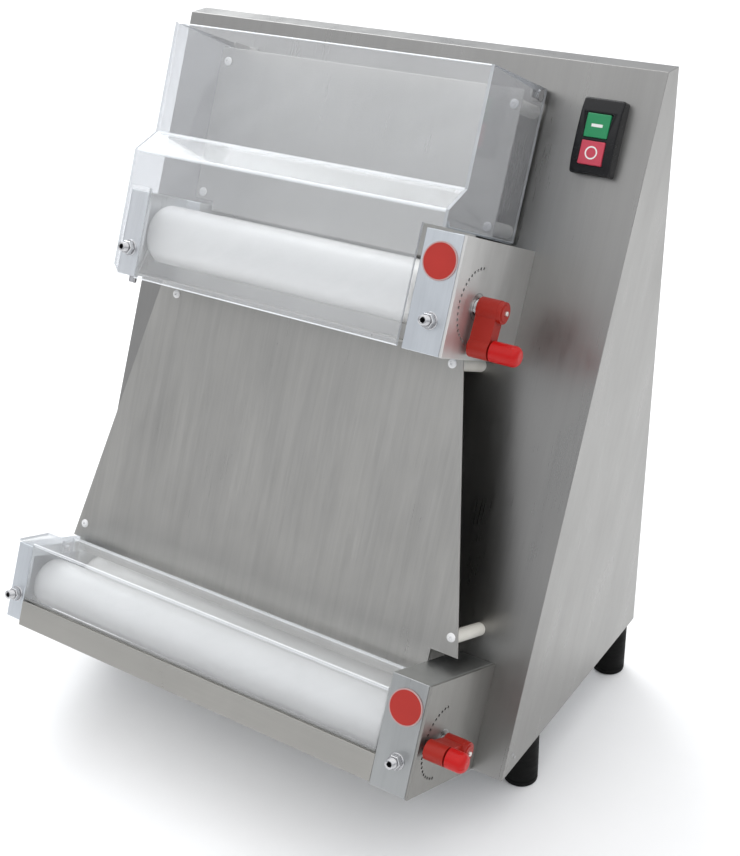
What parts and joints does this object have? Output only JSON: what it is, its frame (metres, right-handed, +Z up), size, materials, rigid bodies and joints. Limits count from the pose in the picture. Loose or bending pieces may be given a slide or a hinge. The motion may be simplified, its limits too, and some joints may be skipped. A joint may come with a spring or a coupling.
{
  "type": "dough sheeter",
  "caption": "Bench dough sheeter: sloping steel housing with two roller stages, clear guards, red gap levers, chutes, push-button switch and rubber feet.",
  "frame": {"origin": "on the bench, under the middle of the machine's bounding box", "axes": "+Z up, -Y towards the person using it, +X towards the side with the levers and the switch"},
  "size_m": [0.561, 0.4439, 0.6935],
  "materials": {
    "brushed_stainless": "brushed",
    "plate_stainless": "brushed",
    "base_steel": "satin",
    "foot_rubber": "matte",
    "bright_fixings": "polished",
    "gland_nylon": "matte",
    "motor_paint": "satin",
    "gearbox_alloy": "cast",
    "capacitor_shell": "satin",
    "green_belt": "satin",
    "block_alloy": "satin",
    "bush_bronze": "machined",
    "red_disc": "satin",
    "white_nylon": "satin",
    "white_screw": "satin",
    "white_acetal": "satin",
    "shaft_steel": "ground",
    "red_lever": "satin",
    "red_knob": "satin",
    "switch_black": "gloss",
    "start_green": "satin",
    "stop_red": "satin",
    "clear_guard": "clear"
  },
  "bodies": {
    "root": {"housing_shell": "brushed_stainless", "rear_cover": "brushed_stainless", "base_plate": "base_steel", "feet": "foot_rubber", "housing_screws": "bright_fixings", "cable_gland": "gland_nylon", "motor": "motor_paint", "gearbox": "gearbox_alloy", "motor_bracket": "base_steel", "run_capacitor": "capacitor_shell", "motor_belt": "green_belt", "upper_belt": "green_belt", "lower_belt": "green_belt", "layshaft_bracket": "base_steel", "upper_left_block": "block_alloy", "lower_left_block": "block_alloy", "upper_drive_case": "block_alloy", "lower_drive_case": "block_alloy", "inner_plates": "plate_stainless", "index_plates": "plate_stainless", "gap_bushes": "bush_bronze", "roller_bearings": "bright_fixings", "adjuster_screws": "bright_fixings", "marker_discs": "red_disc", "rear_scrapers": "plate_stainless", "lower_fascia": "plate_stainless", "upper_chute": "plate_stainless", "lower_chute": "plate_stainless", "chute_posts": "white_nylon", "chute_screws": "white_screw", "switch_housing": "switch_black", "switch_block": "gland_nylon", "guard_brackets": "plate_stainless"},
    "lower_rear_set": {"lower_rear_roller": "white_acetal", "lower_rear_shaft": "shaft_steel", "lower_rear_gear": "white_nylon"},
    "upper_rear_set": {"upper_rear_roller": "white_acetal", "upper_rear_shaft": "shaft_steel", "upper_rear_gear": "white_nylon"},
    "layshaft_set": {"layshaft": "shaft_steel"},
    "drive_shaft_set": {"drive_shaft": "shaft_steel"},
    "upper_lever_set": {"upper_gap_shaft": "shaft_steel", "upper_lever": "red_lever"},
    "lower_lever_set": {"lower_gap_shaft": "shaft_steel", "lower_lever": "red_lever"},
    "upper_scraper_set": {"upper_front_scraper": "plate_stainless"},
    "lower_scraper_set": {"lower_front_scraper": "plate_stainless"},
    "upper_front_set": {"upper_front_roller": "white_acetal", "upper_front_gear": "white_nylon"},
    "lower_front_set": {"lower_front_roller": "white_acetal", "lower_front_gear": "white_nylon"},
    "upper_knob_set": {"upper_knob": "red_knob"},
    "lower_knob_set": {"lower_knob": "red_knob"},
    "start_button_set": {"start_button": "start_green"},
    "stop_button_set": {"stop_button": "stop_red"},
    "upper_guard_set": {"upper_guard": "clear_guard", "upper_guard_pins": "bright_fixings"},
    "lower_guard_set": {"lower_guard": "clear_guard", "lower_guard_pins": "bright_fixings"}
  },
  "joints": [
    {"name": "lower_rear_spin", "type": "hinge", "parent": "root", "child": "lower_rear_set", "pos_m": [-0.0055, -0.11063, 0.11358], "axis": [1, 0, 0], "continuous": true},
    {"name": "upper_rear_spin", "type": "hinge", "parent": "root", "child": "upper_rear_set", "pos_m": [-0.0055, 0.04909, 0.47048], "axis": [1, 0, 0], "continuous": true},
    {"name": "layshaft_spin", "type": "hinge", "parent": "root", "child": "layshaft_set", "pos_m": [-0.0055, 0.13209, 0.43257], "axis": [1, 0, 0], "continuous": true},
    {"name": "drive_shaft_spin", "type": "hinge", "parent": "root", "child": "drive_shaft_set", "pos_m": [-0.0055, 0.10095, 0.15], "axis": [1, 0, 0], "continuous": true},
    {"name": "upper_lever_turn", "type": "hinge", "parent": "root", "child": "upper_lever_set", "pos_m": [-0.0055, -0.00799, 0.49655], "axis": [1, 0, 0], "range_deg": [-171, 0]},
    {"name": "lower_lever_turn", "type": "hinge", "parent": "root", "child": "lower_lever_set", "pos_m": [-0.0055, -0.16043, 0.13633], "axis": [1, 0, 0], "range_deg": [-81, 90]},
    {"name": "upper_scraper_turn", "type": "hinge", "parent": "upper_lever_set", "child": "upper_scraper_set", "pos_m": [-0.0055, -0.00602, 0.49546], "axis": [1, 0, 0], "range_deg": [-2, 173]},
    {"name": "lower_scraper_turn", "type": "hinge", "parent": "lower_lever_set", "child": "lower_scraper_set", "pos_m": [-0.0055, -0.16152, 0.13436], "axis": [1, 0, 0], "range_deg": [-92, 83]},
    {"name": "upper_front_spin", "type": "hinge", "parent": "upper_scraper_set", "child": "upper_front_set", "pos_m": [-0.0055, -0.00602, 0.49546], "axis": [1, 0, 0], "continuous": true},
    {"name": "lower_front_spin", "type": "hinge", "parent": "lower_scraper_set", "child": "lower_front_set", "pos_m": [-0.0055, -0.16152, 0.13436], "axis": [1, 0, 0], "continuous": true},
    {"name": "upper_knob_pull", "type": "slide", "parent": "upper_lever_set", "child": "upper_knob_set", "axis": [1, 0, 0], "range_m": [-0.0015, 0.003], "stiffness_N_per_m": 600},
    {"name": "lower_knob_pull", "type": "slide", "parent": "lower_lever_set", "child": "lower_knob_set", "axis": [1, 0, 0], "range_m": [-0.0015, 0.003], "stiffness_N_per_m": 600},
    {"name": "start_press", "type": "slide", "parent": "root", "child": "start_button_set", "axis": [0, 0.9096, -0.4155], "range_m": [0, 0.0025], "stiffness_N_per_m": 400},
    {"name": "stop_press", "type": "slide", "parent": "root", "child": "stop_button_set", "axis": [0, 0.9096, -0.4155], "range_m": [0, 0.0025], "stiffness_N_per_m": 400},
    {"name": "upper_guard_open", "type": "hinge", "parent": "root", "child": "upper_guard_set", "pos_m": [-0.0055, 0.14201, 0.64682], "axis": [-1, 0, 0], "range_deg": [0, 70]},
    {"name": "lower_guard_open", "type": "hinge", "parent": "root", "child": "lower_guard_set", "pos_m": [-0.0055, -0.13869, 0.16707], "axis": [-1, 0, 0], "range_deg": [0, 80]}
  ],
  "couplings": [
    {"joint": "upper_rear_spin", "follows": "lower_rear_spin", "ratio": 1},
    {"joint": "layshaft_spin", "follows": "lower_rear_spin", "ratio": 1.5},
    {"joint": "drive_shaft_spin", "follows": "lower_rear_spin", "ratio": 1.5},
    {"joint": "upper_front_spin", "follows": "lower_rear_spin", "ratio": -1},
    {"joint": "lower_front_spin", "follows": "lower_rear_spin", "ratio": -1},
    {"joint": "upper_scraper_turn", "follows": "upper_lever_turn", "ratio": -1},
    {"joint": "lower_scraper_turn", "follows": "lower_lever_turn", "ratio": -1}
  ]
}
